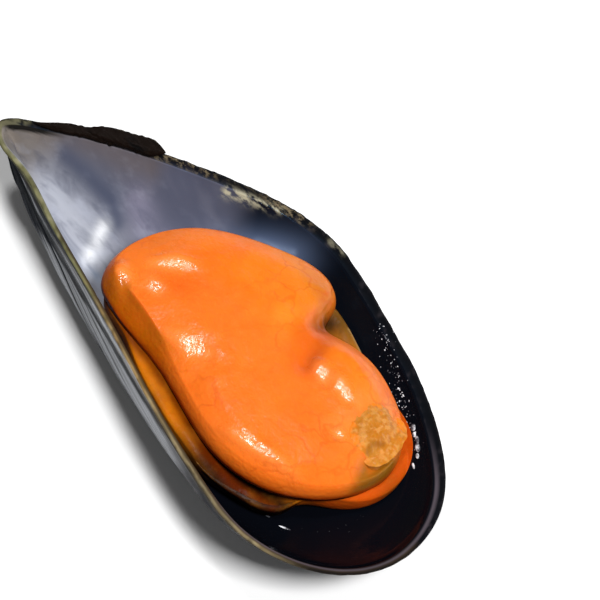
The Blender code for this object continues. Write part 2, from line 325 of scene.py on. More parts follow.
def painted(count, ground, layers):
    """One ground colour for `count` points, and over it each layer's colour in its share."""
    made = np.tile(colour(*ground), (count, 1))
    for tint, share in layers:
        made = lay_on(made, colour(*tint), share)
    return made


class Look:
    """A node material that is built up one node at a time."""

    def __init__(self, name, **values):
        self.material = bpy.data.materials.new(name)
        self.material.use_nodes = True
        self.nodes = self.material.node_tree.nodes
        self.links = self.material.node_tree.links
        self.shader = self.nodes["Principled BSDF"]
        for key, value in values.items():
            self.shader.inputs[key.replace("_", " ")].default_value = value
        self.place = self.attribute("place").outputs["Vector"]

    def add(self, kind, inputs=None, **settings):
        node = self.nodes.new(kind)
        for key, value in settings.items():
            setattr(node, key, value)
        for key, value in (inputs or {}).items():
            if isinstance(value, bpy.types.NodeSocket):
                self.links.new(value, node.inputs[key])
            else:
                node.inputs[key].default_value = value
        return node

    def attribute(self, name):
        return self.add("ShaderNodeAttribute", attribute_name=name)

    def paint(self):
        return self.attribute("paint").outputs["Color"]

    def mask(self, name):
        return self.attribute(name).outputs["Fac"]

    def scaled(self, x, y, z):
        """The valve's coordinates, in millimetres, times a factor along each axis."""
        return self.add("ShaderNodeMapping", {"Vector": self.place, "Scale": (x, y, z)}).outputs["Vector"]

    def grain(self, where, scale, detail=3.0, roughness=0.5, distortion=0.0):
        inputs = {"Vector": where, "Scale": scale, "Detail": detail}
        inputs.update({"Roughness": roughness, "Distortion": distortion})
        return self.add("ShaderNodeTexNoise", inputs).outputs["Fac"]

    def veins(self, where, scale):
        inputs = {"Vector": where, "Scale": scale}
        return self.add("ShaderNodeTexVoronoi", inputs, feature="DISTANCE_TO_EDGE").outputs["Distance"]

    def spread(self, value, low, high, to_low=0.0, to_high=1.0):
        inputs = {"Value": value, "From Min": low, "From Max": high, "To Min": to_low, "To Max": to_high}
        return self.add("ShaderNodeMapRange", inputs, interpolation_type="SMOOTHSTEP").outputs["Result"]

    def times(self, first, second):
        return self.add("ShaderNodeMath", {0: first, 1: second}, operation="MULTIPLY").outputs["Value"]

    def plus(self, first, second):
        return self.add("ShaderNodeMath", {0: first, 1: second}, operation="ADD").outputs["Value"]

    def mix(self, share, first, second):
        node = self.add("ShaderNodeMix", data_type="RGBA")
        for index, value in ((0, share), (6, first), (7, second)):
            if isinstance(value, bpy.types.NodeSocket):
                self.links.new(value, node.inputs[index])
            else:
                node.inputs[index].default_value = (*value, 1.0) if index else value
        return node.outputs[2]

    def finish(self, base, bump=None, height=0.0, roughness=None):
        self.links.new(base, self.shader.inputs["Base Color"])
        if roughness is not None:
            self.links.new(roughness, self.shader.inputs["Roughness"])
        if bump is not None:
            made = self.add("ShaderNodeBump", {"Height": bump, "Distance": height * MM, "Strength": 1.0})
            self.links.new(made.outputs["Normal"], self.shader.inputs["Normal"])
        return self.material


# The valve.

def shell_look():
    look = Look("shell", Specular_IOR_Level=0.45, IOR=1.25)
    look.shader.inputs["Specular Tint"].default_value = (0.25, 0.55, 0.95, 1.0)
    everywhere = look.scaled(1, 1, 1)
    outside = look.mask("outside")
    pearl = look.mask("pearl")
    paint = look.paint()

    # mother of pearl, with darker and brighter streaks
    streaks = look.grain(look.scaled(0.22, 1.0, 0.7), 0.8, 4.0, 0.5, 0.5)
    shade = look.times(look.spread(streaks, 0.40, 0.72, 0.0, 0.45), pearl)
    inside_colour = look.mix(shade, paint, (0.045, 0.052, 0.085))
    glints = look.grain(look.scaled(0.5, 0.9, 0.9), 0.55, 3.0)
    shine = look.times(look.spread(glints, 0.52, 0.75, 0.0, 0.18), pearl)
    inside_colour = look.mix(shine, inside_colour, (0.50, 0.53, 0.64))

    # growth lines on the outer face
    wave = look.times(look.grain(everywhere, 0.10), 3.0)
    growth = look.times(look.mask("growth"), 150.0)
    lines = look.add("ShaderNodeCombineXYZ", {"X": growth, "Y": wave})
    rings = look.grain(lines.outputs["Vector"], 1.0, 3.0, 0.6)
    line_share = look.spread(rings, 0.44, 0.62, 0.0, 0.7)
    outside_colour = look.mix(line_share, paint, (0.004, 0.004, 0.005))
    base = look.mix(outside, inside_colour, outside_colour)

    # tan crumbs and cream chips on the rim, and a painted sheen on the worn wall: pale colour at a
    # glancing view, for the floor's reflection
    crumbs = look.spread(look.grain(look.scaled(0.7, 1.2, 1.6), 1.5, 4.0, 0.65), 0.45, 0.62, 0.0, 0.75)
    base = look.mix(look.times(crumbs, look.mask("flakes")), base, (0.20, 0.155, 0.09))
    cream = look.spread(look.grain(look.scaled(0.5, 1.0, 1.0), 1.3, 4.0, 0.6), 0.40, 0.62, 0.0, 0.85)
    base = look.mix(look.times(cream, look.mask("cream")), base, (0.46, 0.42, 0.29))
    facing = look.add("ShaderNodeLayerWeight", {"Blend": 0.5}).outputs["Facing"]
    painted_sheen = look.times(look.spread(facing, 0.45, 0.80), look.mask("painted_sheen"))
    painted_sheen = look.times(painted_sheen, look.spread(rings, 0.38, 0.62, 0.45, 0.95))
    base = look.mix(painted_sheen, base, (0.66, 0.68, 0.72))

    wet = look.grain(everywhere, 1.1, 2.0)
    bump = look.plus(look.times(rings, outside), look.times(wet, 0.10))
    fine = look.grain(everywhere, 0.9, 5.0, 0.6)
    rough = look.plus(look.times(outside, 0.55), look.times(pearl, 0.19))
    rough = look.plus(rough, look.spread(fine, 0.3, 0.8, 0.10, 0.22))
    rough = look.plus(rough, look.times(look.mask("lip"), 0.35))
    return look.finish(base, bump, SHELL_BUMP, rough)


def inside_paint(x, y, z):
    """The hollow, from mother of pearl at the beak to blue-black at the rear."""
    place = np.column_stack([x, y])
    wander = layered_noise(place, 6.0, 11)
    stripe = layered_noise(np.column_stack([x * 0.3, y]), 1.8, 21)
    grey = smooth_step((37 + 3 * wander - x - 1.3 * np.maximum(y - 10, 0)) / 12)
    silver = 1.4 * hill(x, y, (11.5, 0.0), 13, 5.0, 2) + 1.1 * hill(x, y, (20, -2.0), 10, 4.2, -8)
    hinge_dark = smooth_step((y - 0.56 * x - 5.6 + 0.4 * wander) / 1.6) * smooth_step((x - 15) / 8)
    beak_edge_shadow = smooth_step((z + 0.6) / 0.3) * smooth_step((6 - x) / 3) * smooth_step(y - 0.6)
    return painted(len(x), (10, 12, 20), (
        # grey with darker stripes, and silver along the open side
        ((86, 87, 102), grey),
        ((58, 62, 80), 0.45 * grey * smooth_step(0.5 + 1.2 * stripe)),
        ((168, 171, 181), np.clip(silver, 0, 1) * (0.93 + 0.07 * stripe)),
        # lilac, brown and slate bands below the hinge, and a painted highlight: a white streak on the
        # pearl
        ((132, 128, 148), 0.55 * near_line(x, y, ((15, 9.4), (19, 8.4), (23, 9.5)), 1.5)),
        ((88, 80, 80), 0.75 * near_line(x, y, ((3, 4.2), (9, 9.0), (14, 11.8)), 1.5)),
        ((60, 66, 86), 0.75 * near_line(x, y, ((6.0, 5.3), (9, 6.4), (13, 7.4), (15, 6.6)), 0.9)),
        ((222, 224, 228), 0.95 * near_line(x, y, ((15.2, 2.4), (14.2, 5.2)), 0.8)),
        # blue where the pearl ends
        ((98, 114, 146), 0.9 * hill(x, y, (29.5, 15.0), 5.5, 2.1, 32)),
        ((124, 140, 168), 0.6 * near_line(x, y, ((28.5, 15.9), (32.5, 17.6)), 0.4)),
        # dark along the hinge, brown-grey at the beak, a painted shadow line inside the beak's rim, and
        # blue-black at the rear
        ((9, 11, 17), 0.95 * hinge_dark),
        ((114, 104, 92), 0.85 * smooth_step((6.5 - x) / 5.5)),
        ((24, 22, 20), beak_edge_shadow),
        ((7, 9, 15), smooth_step((x - 38 + 2 * wander + 0.5 * (y - 6)) / 8)),
    ))


def outside_paint(x, y, z, growth):
    """Blue-black skin, worn to grey lines low on the open side, olive and tan along the rim."""
    place = np.column_stack([x, y, z])
    wander = layered_noise(place, 7.0, 31)
    speckle = layered_noise(place, 0.8, 35)
    lines = noise(np.column_stack([growth * 70, 0.05 * x]), 1.0, 41)
    open_side = smooth_step((2.0 - y) / 3)
    middle = smooth_step((x - 13) / 7)
    depth = -z + 0.12 * speckle

    worn_from = np.interp(x, (10, 16, 30), (2.6, 0.8, 0.4))
    worn_to = np.interp(x, (8, 16, 22, 30, 38), (6.0, 3.6, 2.0, 1.0, 0.5)) + 0.3 * wander
    worn = open_side * smooth_step((46 - x + 5 * wander) / 10)
    worn = worn * (1 - 0.9 * smooth_step((depth - worn_to) / 0.8))
    grey = worn * smooth_step((depth - worn_from) / 0.4)

    pale_depth = np.interp(x, (6, 14, 18, 24, 30, 36), (2.8, 2.6, 2.3, 1.4, 0.8, 0.5))
    pale_width = np.interp(x, (6, 14, 18, 24, 30, 40), (0.35, 0.5, 0.8, 0.7, 0.4, 0.25))
    pale = np.exp(-(((depth - pale_depth) / pale_width) ** 2)) * open_side
    pale = pale * smooth_step((42 - x + 2 * wander) / 8)

    brown = open_side * smooth_step((1.5 - depth) / 0.3)
    olive_width = np.interp(x, (10, 16, 34, 42), (1.0, 0.3, 0.2, 0.5))
    olive = open_side * smooth_step((olive_width - depth) / 0.3) * smooth_step((64 - x) / 8)
    made = painted(len(x), (17, 18, 26), (
        # brown where the skin is young
        ((58, 42, 24), 0.4 * smooth_step(wander * 1.3) * smooth_step((growth - 0.5) / 0.3)),
        # the worn strip with its white and black growth lines, and a pale line in it
        ((34, 34, 34), 0.9 * grey),
        ((196, 192, 186), 0.85 * grey * middle * smooth_step(0.9 + lines)),
        ((210, 213, 220), grey * (0.15 + 0.75 * middle) * smooth_step(3.0 * lines - 1.7)),
        ((24, 24, 24), 0.75 * grey * smooth_step(-2.4 * lines - 0.6)),
        ((222, 226, 234), 0.95 * pale * smooth_step(1.1 + 1.6 * lines)),
        # brown below the rim towards the rear
        ((70, 58, 38), 0.85 * brown * smooth_step((x - 35) / 6)),
    ))
    return lay_on(made, rim_tint(x, speckle), olive)


def cream_share(x, y):
    """Where the inner edge of the hinge-side rim has chipped to cream."""
    long_chip = near_line(x, y, ((22.0, 16.3), (24.8, 17.8), (28.0, 19.3)), 0.40)
    return np.clip(long_chip + near_line(x, y, ((34.8, 21.0), (36.9, 20.9)), 0.28), 0, 1)


def flaked_share(x, y):
    """How much of the hinge-side rim has lost its black skin."""
    flaked = near_line(x, y, ((13.5, 13.6), (18.5, 16.4)), 1.3)
    flaked += near_line(x, y, ((26.5, 19.6), (30.5, 20.6)), 0.9)
    flaked += 0.25 * near_line(x, y, ((18, 16.6), (26, 19.9), (32, 21.3)), 0.8)
    return np.clip(flaked, 0, 1)


def sheen_share(x, y, z):
    """How much painted sheen the worn wall of the open side gets at a glancing view, for the floor's
    reflection.
    """
    wander = layered_noise(np.column_stack([x, y, z]), 5.0, 55)
    start = np.interp(x, (8, 14, 20, 26, 32, 38, 44), (7.5, 6.2, 4.9, 3.6, 2.4, 1.4, 0.7)) + 0.3 * wander
    band = smooth_step((-z - start) / 0.8) * smooth_step((start + 8 + z) / 4)
    ends = smooth_step((x - 8) / 5) * smooth_step((50 - x + 3 * wander) / 8)
    return band * smooth_step((2.0 - y) / 3) * ends


def rim_tint(x, speckle):
    """Olive near the beak, tan further back, with pale and dark specks."""
    return painted(len(x), (112, 110, 76), (
        ((152, 124, 80), smooth_step((x - 20 + 3 * speckle) / 8)),
        ((140, 124, 92), smooth_step((x - 34 + 3 * speckle) / 10)),
        ((172, 162, 128), 0.35 * smooth_step(2.0 * speckle - 0.5)),
        ((66, 56, 34), 0.5 * smooth_step(-2.0 * speckle - 0.5)),
    ))


def rim_paint(x, y, z):
    """The lip: olive and tan on the open side and at the beak's tip, black elsewhere."""
    place = np.column_stack([x, y, z])
    speckle = layered_noise(place, 0.7, 43)
    made = painted(len(x), (9, 8, 9), [((46, 41, 44), 0.5 * smooth_step(speckle * 1.6 - 0.5))])
    open_side = smooth_step((1.4 - y + 0.03 * x) / 1.6) * smooth_step((64 - x) / 8)
    made = lay_on(made, rim_tint(x, layered_noise(place, 0.8, 35)), open_side)
    tip = smooth_step(1.8 - x)
    return lay_on(made, colour(112, 108, 82), 0.6 * tip * smooth_step(1.5 + 2 * speckle))


def add_relief(outer, sizes, rim):
    """Growth lines that stand out of the outer face as low steps, and a flaked edge at the hinge side."""
    out = relief_directions(outer)
    middle_ring = GROWTH_RINGS // 2
    if out[middle_ring, 0] @ (outer[middle_ring, 0] - np.array((30, 4, 0))) < 0:
        out = -out
    growth = np.repeat(sizes[:, None], RIM_SIDES, axis=1)
    place = outer.reshape(-1, 3)
    steps = noise(np.column_stack([growth.ravel() * 22, place[:, 0] * 0.02]), 1.0, 51)
    steps += 0.45 * noise(np.column_stack([growth.ravel() * 60, place[:, 0] * 0.03]), 1.0, 52)
    steps += 0.35 * layered_noise(place, 5.0, 53)
    fade = smooth_step((1 - growth) / 0.04) * smooth_step((growth - 0.03) / 0.1)
    outer = outer + out * (GROWTH_STEP * steps.reshape(growth.shape) * fade)[:, :, None]
    flaked = smooth_step((rim[:, 1] - 6) / 6) * smooth_step((56 - rim[:, 0]) / 10)
    flakes = 0.13 * noise(rim, 1.6, 63) + 0.09 * noise(rim, 0.7, 64)
    outer[0] += out[0] * (flaked * flakes)[:, None]
    return outer


def per_point(first, per_ring, last):
    """One value per point of the valve's skin, from one value per ring."""
    return np.concatenate([[first], np.repeat(per_ring, RIM_SIDES), [last]])


def ring_band(start, values):
    """One value per point: `values` on the rings from `start` on, and 0 elsewhere."""
    per_ring = np.zeros(GROWTH_RINGS + 1 + len(LIP_RINGS) + HOLLOW_RINGS)
    per_ring[start:start + len(values)] = values
    return per_point(0, per_ring, 0)


def make_valve():
    rim = closed_spline(RIM, RIM_SIDES)
    share = np.linspace(0, 1, GROWTH_RINGS + 1)
    sizes = SMALLEST_RIM + (1 - SMALLEST_RIM) * (1 - share) ** RING_SPACING_POWER
    outer = np.array([outer_ring(rim, size) for size in sizes])
    beak_tip = np.array((*BEAK, 0.0))
    coarse = outer[::-2, ::2]
    coarse_faces = grid_faces(len(coarse), RIM_SIDES // 2)[:-RIM_SIDES // 2]
    outer_tree = tree_of(stack(beak_tip, coarse, beak_tip), coarse_faces)
    outer = add_relief(outer, sizes, rim)

    lip_width = LIP_VENTRAL + (LIP_DORSAL - LIP_VENTRAL) * smooth_step((rim[:, 1] + 4) / 16)
    inner_side = inward(rim)
    fray = 0.10 * noise(rim, 1.1, 61) + 0.07 * noise(rim, 0.5, 62)
    outer[0, :, 2] += fray
    lip_rings = []
    for across, rise in LIP_RINGS:
        flat = rim + across * lip_width[:, None] * inner_side
        lip_rings.append(np.column_stack([flat, rise + fray * (1 - across)]))

    lip = rim + lip_width[:, None] * inner_side
    hollow = []
    for step in range(HOLLOW_RINGS):
        share_in = (step / HOLLOW_RINGS) ** HOLLOW_SPACING_POWER
        flat = lip + share_in * (HOLLOW_CENTRE - lip)
        wall = lip_width + (WALL - lip_width) * smooth_step(share_in / WALL_REACHED)
        heights = [lowest_clear(outer_tree, x, y, w) for (x, y), w in zip(flat, wall)]
        hollow.append(np.column_stack([flat, np.minimum(HIGHEST_HOLLOW, heights)]))
    bottom = lowest_clear(outer_tree, *HOLLOW_CENTRE, WALL)

    rings = np.concatenate([outer[::-1], np.array(lip_rings), np.array(hollow)])
    points = stack(beak_tip, rings, (*HOLLOW_CENTRE, bottom))
    faces = grid_faces(len(rings), RIM_SIDES)
    x, y, z = points.T
    edge = (0.9, 0.6, 0.4, 0.2)
    outside = per_point(1, np.concatenate([np.ones(GROWTH_RINGS), edge, np.zeros(HOLLOW_RINGS)]), 0)
    growth = per_point(0, np.concatenate([sizes[::-1], np.ones(len(LIP_RINGS) + HOLLOW_RINGS)]), 1)
    lip_share = ring_band(GROWTH_RINGS, (0.6, 1, 1, 0.9, 0.75, 0.35))
    colours = lay_on(inside_paint(x, y, z), outside_paint(x, y, z, growth), smooth_step(outside * 1.6))
    colours = lay_on(colours, rim_paint(x, y, z), lip_share)

    # painted shade: brown on the lip's inner half on the open side, where the rim meets the meat; and grey
    # round the rear end
    brown = ring_band(GROWTH_RINGS + 1, (0.2, 0.8, 0.9, 0.9, 0.5))
    brown = brown * smooth_step((x - 12) / 4) * smooth_step((1.4 - y) / 1.6)
    colours = lay_on(colours, colour(52, 41, 28), brown)
    grey = ring_band(GROWTH_RINGS + 3, (0.9, 0.9, 0.4))
    grey = grey * smooth_step((x - 48) / 8) * smooth_step((13 - y) / 6)
    colours = lay_on(colours, colour(78, 70, 76), grey)

    masks = {
        "outside": outside,
        "growth": growth,
        "pearl": smooth_step((colours.sum(axis=1) - 0.12) / 0.5) * (1 - outside),
        "lip": lip_share,
        "flakes": flaked_share(x, y) * lip_share,
        "cream": cream_share(x, y) * (1 - outside),
        # painted sheen: where the worn wall turns pale at a glancing view
        "painted_sheen": sheen_share(x, y, z) * outside,
    }
    make_piece("mussel_valve", points, faces, shell_look(), "valve", colours, masks)
    return tree_of(points, faces[RIM_SIDES * BED_STARTS_AT_RING:])


# The meat.

def meat_look(name, dark, vein, roughness, specular, threads_share=0.36):
    look = Look(name, Subsurface_Weight=MEAT_SUBSURFACE, Subsurface_Scale=MEAT_SUBSURFACE_DEPTH,
                Specular_IOR_Level=specular)
    look.shader.inputs["Subsurface Radius"].default_value = (1.0, 0.30, 0.06)
    where = look.scaled(1, 1, 1)
    mottle = look.spread(look.grain(where, 0.30, 4.0, 0.55), 0.42, 0.78, 0.0, 0.45)
    base = look.mix(mottle, look.paint(), dark)

    # thin branching threads, in patches
    bend = look.add("ShaderNodeTexNoise", {"Vector": where, "Scale": 0.4, "Detail": 2.0}).outputs["Color"]
    bend = look.add("ShaderNodeVectorMath", {0: bend, "Scale": 4.0}, operation="SCALE").outputs["Vector"]
    warped = look.add("ShaderNodeVectorMath", {0: where, 1: bend}, operation="ADD").outputs["Vector"]
    threads = look.spread(look.veins(warped, 0.32), 0.0, 0.09, threads_share, 0.0)
    patchy = look.spread(look.grain(where, 0.16, 3.0), 0.40, 0.64)
    threads = look.times(threads, patchy)
    base = look.mix(threads, base, vein)

    coarse = look.times(look.grain(where, 0.6, 2.0), 0.6)
    fine = look.times(look.grain(where, 2.2, 2.0), 0.42)
    bump = look.plus(look.plus(coarse, fine), look.times(threads, -0.10))
    rough = look.spread(look.grain(where, 0.9, 2.0), 0.35, 0.7, roughness, roughness + 0.14)
    rough = look.plus(rough, look.times(look.mask("wet"), -WET_SMOOTHER))
    return look.finish(base, bump, MEAT_BUMP, rough)


def wetness(x, y):
    """1 on the slanting lumps, which are wet, and 0 away from them."""
    lumps = [hill(x, y, centre, 1.3 * length, 1.5 * width, turn) for centre, length, width, turn in SLANTS]
    return np.max(lumps, axis=0)


def make_lobe(name, outline, centre, rings_under, rings_over, faces_at, look, node, paint, wet=None):
    """A closed cushion; `faces_at` gives the heights of its underside and of its upper face for a ring."""
    rings = []
    for step in range(rings_under):
        out = math.sin(math.pi / 2 * (step + 1) / rings_under)
        flat = centre + out * (outline - centre)
        rings.append(np.column_stack([flat, faces_at(flat, out)[0]]))
    for step in range(rings_over):
        out = math.cos(math.pi / 2 * step / rings_over) ** 0.8
        flat = centre + out * (outline - centre)
        rings.append(np.column_stack([flat, faces_at(flat, out)[1]]))
    under, over = faces_at(np.reshape(centre, (1, 2)), 0.0)
    points = stack((*centre, under[0]), rings, (*centre, over[0]))
    faces = grid_faces(len(rings), len(outline))
    x, y, z = points.T
    masks = {"wet": wet(x, y)} if wet else None
    make_piece(name, points, faces, look, node, paint(x, y, z), masks)
    return tree_of(points, faces)


def inside_distance(x, y, outline):
    """How far inside a closed outline each point lies, in millimetres."""
    return distance_to_line(x, y, np.concatenate([outline, outline[:1]]))


def upper_plateau(x, y):
    """The height of the upper lobe's top away from its edges: a low dome with folds."""
    place = np.column_stack([x, y])
    top = 3.1 - 0.003 * (x - 41) ** 2 - 0.006 * (y - 4) ** 2
    top += 0.18 * layered_noise(place, 6.0, 71, 2) + 0.05 * layered_noise(place, 1.6, 75, 2)
    # the notch and the groove that runs on from it
    top -= 2.6 * hill(x, y, (42.8, 12.6), 1.0, 2.0, -10)
    top -= 0.62 * near_line(x, y, ((43.1, 12.6), (44.3, 9.4), (45.6, 5.6)), 1.3)
    # broad swells and dips, and the fall to the muscle's rear
    top += 0.75 * hill(x, y, (50.4, 9.0), 4.6, 2.5, -10)
    top -= 0.30 * hill(x, y, (48.0, 3.2), 5.0, 2.2, -8)
    top += 0.25 * hill(x, y, (26.8, 4.4), 3.4, 2.0, 30)
    top += 0.30 * hill(x, y, (36.0, 0.2), 4.5, 2.0, 10)
    top -= 2.6 * hill(x, y, (60.4, 3.1), 1.8, 3.6, 10)
    return top


def upper_height(x, y, outline):
    """The upper lobe's top face: a steep side, then a slope that flattens towards the middle."""
    inside = inside_distance(x, y, outline)
    flank = hill(x, y, (27.4, -4.6), 6.0, 3.0, -6)
    far = smooth_step((y - 0.25 * x + 1) / 5)
    wall_width = 0.55 + 1.45 * flank + 0.6 * far * (1 - flank)
    wall_height = 2.1 + 1.3 * flank + 0.3 * far
    climb = np.clip(inside / wall_width, 0, 1)
    wall = np.sqrt(1 - (1 - climb) ** 2) * (1 - flank) + climb**0.9 * flank
    slope_width = 5.2 - 1.9 * smooth_step((x - 38) / 4) - 1.0 * hill(x, y, (51, -6), 7, 5) - 1.2 * far
    slope = np.clip((inside - 0.6 * wall_width) / slope_width, 0, 1)
    rise = 1 - (1 - slope) ** 2
    return UPPER_EDGE + wall_height * wall + (upper_plateau(x, y) - UPPER_EDGE - wall_height) * rise


def slanted_height(x, y, outline, middles):
    """The upper lobe's top face with its slanting lumps, each through its middle's height."""
    height = upper_height(x, y, outline)
    for ((cx, cy), length, width, degrees), middle in zip(SLANTS, middles):
        plane = middle + SLANT_SLOPE[0] * (x - cx) + SLANT_SLOPE[1] * (y - cy)
        share = -np.log(np.maximum(hill(x, y, (cx, cy), length, width, degrees), 1e-12))
        height += (plane - height) * np.exp(-(share**1.6))
    return height


def upper_faces(bed, outline):
    centres = np.array([centre for centre, _, _, _ in SLANTS])
    middles = upper_height(*centres.T, outline)

    def faces_at(flat, out):
        under = np.maximum(UPPER_LOWEST, heights_clear(bed, flat, GAP))
        under = np.minimum(under, UPPER_EDGE - THINNEST)
        return under, np.maximum(slanted_height(*flat.T, outline, middles), under + THINNEST / 2)
    return faces_at


def lower_faces(bed, outline):
    def faces_at(flat, out):
        x, y = flat.T
        under = heights_clear(bed, flat, GAP)
        under = np.maximum(under, -3.0 - 9.0 * math.sqrt(max(0.0, 1 - out**2)))
        tail = smooth_step((x - 42) / 13) * smooth_step((-2.4 - y) / 3.4)
        edge = LOWER_EDGE - 2.6 * tail + 1.1 * hill(x, y, (43.0, 15.6), 5.0, 2.6, -15)
        inset = np.clip(inside_distance(x, y, outline) / 0.9, 0, 1)
        over = edge + 0.55 * np.sqrt(1 - (1 - inset) ** 2) - smooth_step(4 * (1 - out) - 0.3)
        over = over + inset * 0.16 * layered_noise(flat, 2.4, 81, 2)
        return np.minimum(under, edge - THINNEST), np.maximum(over, under + THINNEST)
    return faces_at


def upper_paint(x, y, z):
    """Orange with redder and yellower fields, a painted glow round the slanting lumps, an ochre hinge
    side, and painted shade in the hollow, groove and notch, on the front flank and low down.
    """
    place = np.column_stack([x, y])
    around_muscle = hill(x, y, MUSCLE_CENTRE, 4.4, 4.9, 10)
    around_muscle = around_muscle * smooth_step(1.4 + 2.0 * layered_noise(place, 1.0, 97))
    behind_muscle = smooth_step(1.8 * hill(x, y, (60.2, 3.0), 1.6, 3.3, 10))
    flank = smooth_step(1.6 * hill(x, y, (27.4, -4.8), 7.5, 2.6, -6)) * smooth_step((1.9 - z) / 0.5)
    notch_shadow = hill(x, y, (43.0, 12.6), 1.3, 2.3) * smooth_step((3.0 - z) / 0.7)
    # painted highlight: a pale salmon glow round each slanting lump, about its highlights
    lumps = []
    for centre, length, width, turn in SLANTS:
        share = 0.45 * hill(x, y, centre, 0.9 * length, 0.9 * width, turn)
        lumps.append(((238, 150, 84), share))
    return painted(len(x), (226, 112, 16), (
        ((230, 130, 34), 0.6 * smooth_step(layered_noise(place, 8.0, 91) + 0.1)),
        ((222, 96, 4), 0.5 * smooth_step(layered_noise(place, 5.0, 95) * 1.5)),
        ((226, 102, 30), 0.6 * smooth_step((4.5 - y + 0.1 * x) / 5)),
        # painted shade: darker red in the hollow between the front lumps
        ((206, 70, 4), 0.35 * hill(x, y, (29.4, 1.0), 2.6, 1.6, 30)),
        # painted shade: darker orange along the groove that runs from the notch
        ((186, 70, 2), 0.7 * near_line(x, y, ((43.5, 12.5), (44.3, 9.4), (46.2, 5.6)), 1.5)),
        *lumps,
        ((204, 124, 28), 0.75 * hill(x, y, (38.5, 14.2), 5.0, 2.2, -12)),
        ((208, 112, 16), 0.8 * near_line(x, y, ((29.0, 13.6), (33.0, 15.6), (37.0, 16.8)), 1.6)),
        ((180, 92, 2), 0.75 * hill(x, y, (40.0, 14.2), 3.0, 1.7, -24)),
        # painted shade in the groove
        ((198, 84, 2), 0.7 * hill(x, y, (43.0, 7.8), 2.6, 1.7, -60)),
        # painted shadow: dark brown in the notch
        ((70, 34, 6), 0.95 * notch_shadow),
        ((214, 132, 60), 0.7 * hill(x, y, (53.6, 5.4), 1.6, 3.2)),
        ((200, 122, 40), 0.9 * around_muscle),
        ((128, 84, 12), 0.95 * behind_muscle),
        # painted shade: darker on the steep front flank, and red-brown low down on the lobe's sides
        ((168, 84, 0), 0.9 * flank),
        ((150, 50, 0), 0.9 * smooth_step(-0.5 - z)),
    ))


def lower_paint(x, y, z):
    """Brownish orange, with painted shade in the notch and in the crease under the upper lobe, a painted
    highlight along the hinge-side edge, and dark in the tail.
    """
    place = np.column_stack([x, y])
    tail = smooth_step((x - 38) / 10) * smooth_step((-3.5 - y) / 2)
    crease_shade = ((24, -4.3), (29.5, -5.4), (33.5, -5.7), (37.5, -6.5), (41.5, -7.6), (45.6, -8.5),
              (50, -8.2), (54.4, -6.4))
    highlight_edge = ((44.5, 15.1), (48.0, 14.2), (54.0, 12.7))
    return painted(len(x), (196, 108, 10), (
        ((160, 82, 8), 0.7 * smooth_step(layered_noise(place, 2.2, 101))),
        ((186, 74, 10), smooth_step((x - 52) / 3) * smooth_step((y + 5) / 3)),
        ((96, 70, 22), 0.9 * hill(x, y, (43.5, 15.2), 5.5, 2.6, -15)),
        # painted shadow: dark in the notch
        ((30, 17, 7), 0.95 * hill(x, y, (42.4, 13.6), 1.5, 1.4)),
        # painted highlight: a pale thin line along the hinge-side edge
        ((204, 160, 104), 0.8 * near_line(x, y, highlight_edge, 0.25)),
        ((140, 56, 6), 0.6 * hill(x, y, (61.8, 4.6), 0.9, 2.6, 10)),
        ((30, 20, 9), tail),
        # painted shade: dark red-brown in the crease under the upper lobe
        ((84, 26, 0), 0.85 * near_line(x, y, crease_shade, 0.85)),
    ))


def make_muscle(bed, outline):
    """The torn end of the muscle: a low, grainy mound."""
    cos, sin = math.cos(math.radians(MUSCLE_ANGLE)), math.sin(math.radians(MUSCLE_ANGLE))
    turn = np.array(((cos, -sin), (sin, cos)))
    half = np.array((MUSCLE_LENGTH / 2, MUSCLE_WIDTH / 2))
    angle = np.linspace(0, 2 * math.pi, MUSCLE_SIDES, endpoint=False)
    circle = np.column_stack([np.cos(angle), np.sin(angle)])
    wobble = 1 + 0.09 * noise(circle, 0.7, 117) + 0.04 * noise(circle, 0.2, 118)
    oval = half * circle * wobble[:, None] @ turn.T
    foot = MUSCLE_CENTRE + 0.9 * oval
    rings = [np.column_stack([foot, heights_clear(bed, foot, GAP)])]
    for height in (-3.0, 0.0, 1.0):
        rings.append(np.column_stack([MUSCLE_CENTRE + 0.97 * oval, np.full(MUSCLE_SIDES, height)]))
    for out in np.sin(np.linspace(math.pi / 2, 0.02, 60)):
        flat = MUSCLE_CENTRE + out * oval
        top = np.maximum(upper_height(*flat.T, outline), 1.4) + 0.42 * (1 - out**2) - 0.06
        grain = 0.07 * layered_noise(flat, 1.5, 111, 2) + 0.06 * noise(flat, 0.40, 115)
        grain = grain + 0.04 * noise(flat, 0.20, 116)
        rings.append(np.column_stack([flat, top + grain * smooth_step((1 - out) / 0.08)]))
    under = lowest_clear(bed, *MUSCLE_CENTRE, GAP)
    points = stack((*MUSCLE_CENTRE, under), rings, rings[-1].mean(axis=0))

    place = points[:, :2]
    x, y = place.T
    away = np.hypot(*((place - MUSCLE_CENTRE) @ turn / half).T)
    away += 0.20 * layered_noise(place, 0.7, 127)
    colours = painted(len(points), (178, 108, 26), (
        ((164, 94, 16), 0.55 * smooth_step(0.5 + 0.8 * layered_noise(place, 0.8, 121))),
        ((214, 156, 88), 0.42 * smooth_step(0.4 + 0.8 * layered_noise(place, 0.36, 125))),
        ((140, 80, 10), 0.8 * near_line(x, y, ((58.3, 5.6), (57.6, 4.4), (57.9, 3.3)), 0.35)),
        ((222, 116, 24), smooth_step((away - 0.60) / 0.4) * smooth_step((60 - x) / 3)),
    ))
    look = meat_look("muscle_fibres", (0.40, 0.19, 0.03), (0.30, 0.12, 0.02), 0.34, 0.25)
    faces = grid_faces(len(rings), MUSCLE_SIDES)
    make_piece("muscle_stub", points, faces, look, "adductor_muscle", colours)


